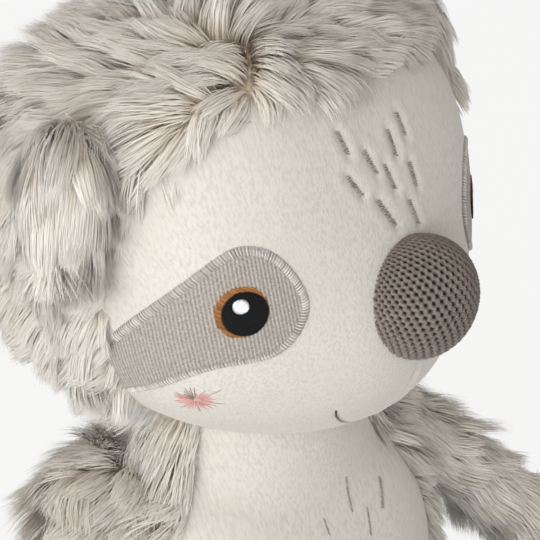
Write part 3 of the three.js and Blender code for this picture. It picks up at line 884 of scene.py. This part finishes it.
def hood_wanted(points, _):
    """Off the face, the neck and the foot of each ear."""
    local = to_head(points)
    hidden = np.linalg.norm(points - NECK, axis=1) < NECK_RADIUS + 4
    for _, side in SIDES:
        flat = (local - ear_root(side)) @ ear_axes(side) / (EAR_SIZE / 2)
        beside = (flat[:, 0] * side < 0) & (flat[:, 0] * side > -3) & (flat[:, 1] < 0.1)
        hidden |= beside & (np.hypot(flat[:, 1], flat[:, 2]) < EAR_FOOT)
    return (inside_face(*lon_lat(local)) < 0.5) & ~hidden


def body_length(points):
    """Short at the belly panel's edge and long on the shoulders."""
    inside = inside_belly(*lon_lat(points - (0, 0, BODY_MID)))
    fuller = sum(by_shoulder(points, side) for _, side in SIDES)
    return 0.55 + 0.45 * smooth(-inside, -1, 9) + 0.4 * fuller


def body_wanted(points, _):
    """Off the belly panel, the floor and the neck."""
    inside = inside_belly(*lon_lat(points - (0, 0, BODY_MID)))
    return (inside < 0.5) & (points[:, 2] > 2) & (points[:, 2] < NECK[2] + 2)


def add_fur(skins):
    grow("hood_fur", skins["hood"], "head", 150000, stirred(hood_flow, 21, 34, 14), 31, parts=7,
         wanted=hood_wanted, shorten=hood_length, stand=lambda points: 26 * at_back(points))
    grow("body_fur", skins["body"], "torso", 72000, stirred(over_shoulders, 22, 45, 22), 32, parts=3,
         wanted=body_wanted, shorten=body_length)
    for name, side in SIDES:
        forward = HEAD_AXES @ (side * 0.74, -0.62, -0.65)
        grow(f"ear_fur_{name}", skins[f"ear_{name}"], "head", 18000, stirred(even(forward), 23, 30, 14), 33,
             lift=(60, 0), droop=2.6)
        for leg, (kind, limb, count) in enumerate((("arm", ARM, 27000), ("leg", LEG, 25000))):
            flow = stirred(down_limb(limb, side), 24 + leg, 40, 24)
            grow(f"{kind}_fur_{name}", skins[f"{kind}_{name}"], f"{kind}_{name}", count, flow,
                 34 + (side > 0) + 2 * leg, length=24, lift=(50, 4))


# Threads: short curved tubes laid on a surface

THREAD_SIDES = 6
ANY_WAY = (0.31, 0.22, 0.92)         # a direction that no thread runs along


def threads(name, paths, radius, slot, material, *nodes, body="head", seed=1, tones=None, blunt=3):
    """Round threads along paths of points, in one piece. A high blunt keeps them full up to their ends."""
    rng = np.random.default_rng(seed)
    points, faces, uvs = [], [], []
    start = 0
    angle = circle(THREAD_SIDES)
    for n, path in enumerate(paths):
        path = np.asarray(path, float)
        rows = len(path)
        t = np.linspace(0, 1, rows)
        tangent = unit(np.gradient(path, axis=0))
        one = unit(np.cross(tangent, ANY_WAY))
        taper = np.minimum(1, 0.35 + blunt * np.minimum(t, t[::-1]))
        ring = rings(one, np.cross(tangent, one), THREAD_SIDES)
        points.append((path[:, None] + ring * (radius * taper)[:, None, None]).reshape(-1, 3))
        faces.append(halves(grid(rows, THREAD_SIDES, True) + start))
        for end, flip in ((0, 1), (rows - 1, 0)):
            base = start + end * THREAD_SIDES
            faces.append([(base, base + i + flip, base + i + 1 - flip) for i in range(1, THREAD_SIDES - 1)])
        tone = tones[n] if tones is not None else rng.uniform(0.2, 1)
        u = np.clip(tone + 0.01 * np.tile(np.cos(angle), rows), 0, 1)
        uvs.append(np.stack([u, np.repeat(t, THREAD_SIDES)], -1))
        start += rows * THREAD_SIDES
    piece(name, np.vstack(points), np.vstack(faces), body, slot, material, *nodes, uv=np.vstack(uvs))


STITCH_PITCH = 0.85


def stitched_line(a, b, width, lift, rng, surface):
    """A zigzag of short stitches across the way from a to b, on surface(lon, lat, lift)."""
    a, b = np.array(a, float), np.array(b, float)
    start, end = surface(*a, lift), surface(*b, lift)
    count = max(3, int(np.linalg.norm(end - start) / STITCH_PITCH))
    normal = unit((start + end) / 2)
    ahead = unit(end - start)
    across = np.cross(normal, ahead)
    stitches = []
    bow = np.linspace(-1, 1, 5)
    arch = normal * (0.25 * (1 - bow ** 2))[:, None]
    for i in range(count):
        here = surface(*(a + (b - a) * ((i + 0.5) / count)), lift)
        half = width / 2 * rng.uniform(0.55, 1.2)
        lean = rng.uniform(0.1, 1.1) * STITCH_PITCH
        stitches.append(here + bow[:, None] * (across * half + ahead * lean) + arch)
    return stitches


def quilting(lines, seed, width, lift, surface):
    """The stitches of several rows."""
    rng = np.random.default_rng(seed)
    return [stitch for a, b in lines for stitch in stitched_line(a, b, width, lift, rng, surface)]


def add_forehead():
    stitches = quilting(DASHES, 41, 2.3, -0.35, head_point)
    threads("forehead_stitches", [from_head(s) for s in stitches], 0.24, "minky", TAUPE, seed=42)


def bend_path(points, count):
    """Points spaced evenly along a line of corners."""
    points = np.asarray(points, float)
    run = np.concatenate([[0], np.cumsum(np.linalg.norm(np.diff(points, axis=0), axis=1))])
    return read_off(np.linspace(0, run[-1], count), run, points)


def add_smile():
    """One line that is dark at its two ends and fades into the cloth between them."""
    for name, side in SIDES:
        line = bend_path([(side * -lon, lat) for lon, lat in SMILE[:4]], 60)
        path = from_head(head_point(line[:, 0], line[:, 1]))
        starts = range(0, 56, 3)
        tones = [min(1.0, 0.02 + 0.07 * max(0, i - 2)) for i in range(len(starts))]
        stitches = [path[i:i + 5] for i in starts]
        threads(f"mouth_thread_{name}", stitches, 0.4, "eye_embroidery", MOUTH, tones=tones)


BLUSH = (-66.6, -22.6)
BLUSH_RAYS = 44


def add_blush(name, side):
    """A small burst of single stitches."""
    rng = np.random.default_rng(51)
    centre, east, north = head_spot(side * -BLUSH[0], BLUSH[1])
    rays, tones = [], []
    for i in range(BLUSH_RAYS):
        angle = 2 * math.pi * (i + rng.uniform(-0.4, 0.4)) / BLUSH_RAYS
        near, far = rng.uniform(0, 2.2), rng.uniform(4.5, 13 if i % 3 == 0 else 8.5)
        ray = side * np.cos(angle) * east + 0.9 * np.sin(angle) * north
        line = centre + ray * np.linspace(near, far, 7)[:, None]
        rays.append(from_head(on_head(unit(line), 0.08)))
        tones.append(rng.uniform(0, 0.35) if math.sin(angle + 0.5) > 0.75 else rng.uniform(0.6, 1))
    threads(f"blush_stitches_{name}", rays, 0.17, "minky", PINK, tones=tones)


# Eyes

PATCH = (
    (38.4, 1), (45, 13.5), (55, 17), (66, 9.5), (90, -13), (93, -27), (64.5, -12.8), (46, -9.8),
)
PATCH_LIFT = 0.65
PATCH_STEP = 0.16                         # degrees between the jersey's points
PATCH_RADIUS, PATCH_RISE_RADIUS = 92, 88  # the head's radius under the patch, round the head and up it
RIB, LOOP, RIB_LEAN = 1.55, 2.1, 0.18     # jersey: between ribs, between loops along one, and their lean


def closed_curve(corners, count):
    """A smooth closed curve through corners, spaced evenly."""
    t = np.linspace(0, 1, 24, endpoint=False)[:, None]
    p0, p1, p2, p3 = (np.roll(corners, 1 - k, 0)[:, None] for k in range(4))
    dense = 0.5 * (2 * p1 + (p2 - p0) * t + (2 * p0 - 5 * p1 + 4 * p2 - p3) * t ** 2
                   + (3 * p1 - p0 - 3 * p2 + p3) * t ** 3).reshape(-1, 2)
    return bend_path(np.vstack([dense, dense[:1]]), count + 1)[:-1]


def inside_curve(points, curve):
    """Whether each 2-D point lies inside a closed curve."""
    x, y = points.T
    inside = np.zeros(len(points), bool)
    for (ax, ay), (bx, by) in zip(curve, np.roll(curve, 1, 0)):
        if ay != by:
            inside ^= ((ay > y) != (by > y)) & (x < (bx - ax) * (y - ay) / (by - ay) + ax)
    return inside


def add_patch(name, side):
    curve = closed_curve(PATCH, 420)
    lons, lats = np.arange(36, 96, PATCH_STEP), np.arange(-30, 20, PATCH_STEP)
    lat, lon = (v.ravel() for v in np.meshgrid(lats, lons, indexing="ij"))
    edge = np.min(np.hypot(lon[:, None] - curve[None, ::6, 0], lat[:, None] - curve[None, ::6, 1]), axis=1)
    inside = inside_curve(np.stack([lon, lat], -1), curve)
    rib_run = (lon - RIB_LEAN * lat) * math.radians(1) * PATCH_RADIUS
    rib = np.cos(2 * math.pi * rib_run / RIB)
    loops_up = lat * math.radians(1) * PATCH_RISE_RADIUS / LOOP
    knot = np.cos(2 * math.pi * loops_up + 2.4 * np.floor(rib_run / RIB))
    lift = PATCH_LIFT * smooth(np.where(inside, edge, -edge), -0.2, 1.5) + 0.14 * rib + 0.02 * knot
    points = head_point(side * lon, lat, lift)
    faces = grid(len(lats), len(lons), False)
    if side < 0:
        faces = faces[:, ::-1]
    points, faces, used = keep_faces(points, faces, (inside | (edge < 0.5)) & (inside_face(lon, lat) > -5))
    # Rib valleys and loop dips get a lower tone: painted shade between the ribs.
    tone = np.clip(0.62 + 0.3 * rib[used] + 0.07 * knot[used], 0, 1)
    piece(f"eye_patch_jersey_{name}", from_head(points), faces, "head", "patch_jersey", JERSEY,
          f"eye_patch_{name}", uv=np.stack([tone, np.linspace(0, 1, len(used))], -1))
    add_border(name, side)


BORDER_STITCHES = 390
BORDER_HALF, BORDER_MORE = 1.15, 0.85     # half a stitch's length where it's short, and what the longest add
BORDER_LEAN = 0.35
BORDER_HEIGHT, BORDER_SINK = 1.25, 0.15


def add_border(name, side):
    """Satin stitches side by side across the patch's edge."""
    rng = np.random.default_rng(61)
    curve = closed_curve(PATCH, BORDER_STITCHES)
    ahead = np.roll(curve, -1, 0) - np.roll(curve, 1, 0)
    outward = unit(np.stack([ahead[:, 1], -ahead[:, 0]], -1))
    outward *= np.sign(((curve - curve.mean(0)) * outward).sum(1, keepdims=True).mean())
    degree = 1 / (math.radians(1) * PATCH_RADIUS)
    t = np.linspace(-1, 1, 7)
    lift = BORDER_HEIGHT * np.sqrt(np.maximum(0, 1 - (0.97 * t) ** 2)) - BORDER_SINK
    stitches, tones = [], []
    for i in range(BORDER_STITCHES):
        if inside_face(*curve[i]) < 2:
            continue
        full = float(smooth(outward[i, 1] - 0.9 * outward[i, 0], -0.9, 0.1))
        half = (BORDER_HALF + BORDER_MORE * full) * degree * rng.uniform(0.92, 1.1)
        line = curve[i] + (outward[i] * half + unit(ahead[i]) * BORDER_LEAN * degree) * t[:, None]
        stitches.append(from_head(head_point(side * line[:, 0], line[:, 1], lift)))
        tones.append(rng.uniform(0.55, 1) if i % 2 else rng.uniform(0.1, 0.6))
    threads(f"patch_border_{name}", stitches, 0.24, "patch_jersey", SATIN, tones=tones)


def disc_threads(side, aside, up, radius, lift, dome, pitch, lean):
    """Parallel rows of thread that fill a round spot, set off from the eye's middle, with a soft bulge."""
    middle, east, north = head_spot(side * (EYE_LON + aside), EYE_LAT + up)
    c, s = cos_sin(lean)
    one, two = east * c + north * s, north * c - east * s
    rows = []
    for offset in np.arange(-radius + pitch / 2, radius, pitch):
        half = math.sqrt(radius ** 2 - offset ** 2)
        t = np.linspace(-half, half, max(5, int(half * 1.6)))
        v = unit(middle + one * t[:, None] + two * offset)
        bulge = dome * np.sqrt(np.maximum(0, 1 - (t ** 2 + offset ** 2) / (radius * 1.04) ** 2))
        rows.append(from_head(on_head(v, lift + bulge)))
    return rows


def add_eye(name, side):
    iris = disc_threads(side, 0.6, 0, radius=9.8, lift=0.55, dome=0.15, pitch=0.42, lean=25 * side)
    threads(f"iris_{name}", iris, 0.3, "eye_embroidery", COPPER, seed=71, blunt=30)
    pupil = disc_threads(side, -0.3, -0.45, radius=8.35, lift=1.0, dome=0.2, pitch=0.42, lean=-20 * side)
    threads(f"pupil_{name}", pupil, 0.3, "eye_embroidery", BLACK, f"eye_{name}", seed=72, blunt=30)
    glint = disc_threads(side, 0.8, 1.6, radius=2.8, lift=1.35, dome=0.15, pitch=0.4, lean=60)
    threads(f"glint_{name}", glint, 0.28, "eye_embroidery", WHITE, seed=73)


# Nose

WALE, COURSE = 3.1, 3.0      # width between the knit's ridges, and length of a stitch along them
WALE_LEAN = 31               # degrees that the ridges lean on the nose
YARN = 0.42                  # half the yarn's width, as a share of the ridges' spacing
ZIGZAG = 0.15                # how far a ridge swings, likewise
YARN_HEIGHT, YARN_SINK = 1.5, 1.2


def knit_height(x, y):
    """Height, 0 to 1, of knitted ridges that zigzag against each other and leave open stitches."""
    u, v = x / WALE, y / COURSE
    high = np.zeros_like(u)
    for shift in (-1, 0, 1):
        ridge = np.round(u) + shift
        swing = ZIGZAG * np.where(ridge % 2 > 0.5, -1, 1)
        off = (u - ridge - swing * np.sin(2 * math.pi * v)) / YARN
        ply = 1 - 0.16 * (1 + np.cos(2 * math.pi * (3 * v + 1.5 * off)))
        high = np.maximum(high, ply * np.sqrt(np.maximum(0, 1 - off ** 2)))
    return high


def add_nose():
    centre = head_point(0, NOSE_LAT)
    ahead = way(0, NOSE_LAT)
    east = np.array([1.0, 0, 0])
    north = np.cross(ahead, east)
    rings_out, around = 190, 520
    p, a = np.meshgrid(np.radians(np.linspace(0.3, 122, rings_out)), circle(around), indexing="ij")
    p, a = p.ravel(), a.ravel()
    c, s = cos_sin(WALE_LEAN)
    x, y = NOSE_RADIUS * p * np.cos(a), NOSE_RADIUS * p * np.sin(a)
    stitch = knit_height(x * c + y * s, -x * s + y * c)
    shape = (np.cos(a)[:, None] * east + np.sin(a)[:, None] * north) * (np.sin(p) * NOSE_RADIUS)[:, None]
    shape = shape + ahead * (np.cos(p) * NOSE_DEPTH)[:, None]
    points = centre + shape + unit(shape) * (YARN_HEIGHT * stitch - YARN_SINK)[:, None]
    # u holds the stitch height, so the knit's hollows take the dark colour as painted shade.
    piece("nose_knit", from_head(points), grid(rings_out, around, True), "head", "nose_knit", KNIT,
          "nose_cover", "nose_stuffing", padded=0.9, uv=np.stack([np.clip(stitch, 0, 1), p / p.max()], -1))


# Belly stitches, each from start to end in longitude and latitude round the body's middle
BELLY_DASHES = (
    ((14.3, 56.2), (11.8, 48.6)), ((19.8, 47.3), (17.4, 40.4)), ((-3.9, 50.2), (-3.1, 45.7)),
    ((33.6, 50.3), (27.2, 44.0)), ((2, 38), (2, 31)), ((-12, 42), (-10, 35)), ((10, 30), (9, 23)),
    ((-6, 26), (-5, 19)), ((20, 28), (18, 21)), ((-18, 32), (-15.5, 25)),
)


def belly_point(lon, lat, lift):
    return body_form(np.atleast_1d(lon), np.atleast_1d(lat), lift)[0]


def add_belly_stitches():
    stitches = quilting(BELLY_DASHES, 43, 1.7, 0.15, belly_point)
    threads("belly_stitches", stitches, 0.22, "minky", TAUPE, body="torso", seed=44)


# Claws

def add_claw(kind, limb, name, side, index):
    centre, along, across = limb_line(limb, side, np.array([limb.length - limb.paw]))
    centre, along = centre[0], along[0]
    offset = (index - (CLAWS - 1) / 2) * CLAW_PITCH
    reach = math.sqrt(limb.paw ** 2 - offset ** 2) + CLAW_LENGTH
    steps, around = 26, 20
    share = np.linspace(0, 1, steps)
    angle = circle(around)
    seam = 1 - 0.05 * bell(np.abs(np.cos(angle)) - 1, 0.03)
    here = centre + across * offset
    points = []
    for s in share:
        ahead = turn(across, -CLAW_CURL * s) @ along
        radius = CLAW_RADIUS * math.sqrt(max(0.0, 1 - s ** 4)) + 0.02
        aside = (np.cos(angle) * radius * seam)[:, None] * across
        points.append(here + aside + (np.sin(angle) * radius)[:, None] * np.cross(across, ahead))
        here = here + ahead * reach / (steps - 1)
    points = np.vstack(points)
    uv = np.stack([np.full(len(points), 0.6), np.repeat(share, around)], -1)
    piece(f"{kind}_claw_cloth_{name}_{index + 1}", points, grid(steps, around, True), f"{kind}_{name}",
          "claw_fabric", CLAW_CLOTH, f"{kind}_claw_{name}_{index + 1}", padded=0.7, uv=uv)


# Floor, light and world

FLOOR_WHITE = 0.84         # share of the floor's look that is plain white, the rest takes the shadow
FLOOR_HALF = 6000


def add_stage():
    corners = np.array([(-1, -1, 0), (1, -1, 0), (1, 1, 0), (-1, 1, 0)]) * FLOOR_HALF
    floor = mesh_of("floor", corners, np.array([[0, 1, 2, 3]]))
    shader = Shader("floor", 0.9, gloss=0.1)
    shader.fill(shader.surface, {"Base Color": (0.86, 0.86, 0.86, 1)})
    shader.whiten(shader.surface, "Emission", FLOOR_WHITE, "Material Output")
    floor.data.materials.append(shader.owner)


def add_world():
    bpy.context.scene.world = bpy.data.worlds.new("studio")
    nodes = Nodes(bpy.context.scene.world)
    soft = nodes.tree.nodes["Background"]
    nodes.fill(soft, {"Color": (1.0, 0.965, 0.92, 1), "Strength": 0.55})
    nodes.whiten(soft, "Background", 1.0, "World Output")


LIT = (0, -0.02, 0.2)      # where the lamps point, in metres


def add_lamp(name, place, size, power, colour):
    data = bpy.data.lights.new(name, "AREA")
    data.shape = "DISK"
    data.size = size
    data.energy = power
    data.color = colour
    back = unit(np.subtract(place, LIT))
    right = unit(np.cross((0, 0, 1), back))
    put(name, data, right, np.cross(back, right), back, place)


def add_light():
    add_lamp("key", (-1.6, -0.6, 0.45), size=1.5, power=16.5, colour=(1.0, 0.965, 0.925))
    add_lamp("low_fill", (-1.3, -1.1, 0.1), size=1.0, power=15, colour=(0.82, 0.93, 1.0))
    add_world()


def main():
    bpy.context.scene.view_settings.view_transform = "Standard"
    add_camera()
    skins = {"hood": head_skins(), "body": body_skins()}
    neck_skin()
    for name, side in SIDES:
        skins[f"ear_{name}"] = ear_skin(name, side)
        for kind, limb in (("arm", ARM), ("leg", LEG)):
            skins[f"{kind}_{name}"] = limb_skin(kind, limb, name, side)
            for i in range(CLAWS):
                add_claw(kind, limb, name, side, i)
        add_patch(name, side)
        add_eye(name, side)
        add_blush(name, side)
    add_nose()
    add_forehead()
    add_smile()
    add_belly_stitches()
    add_fur(skins)
    add_stage()
    add_light()


main()
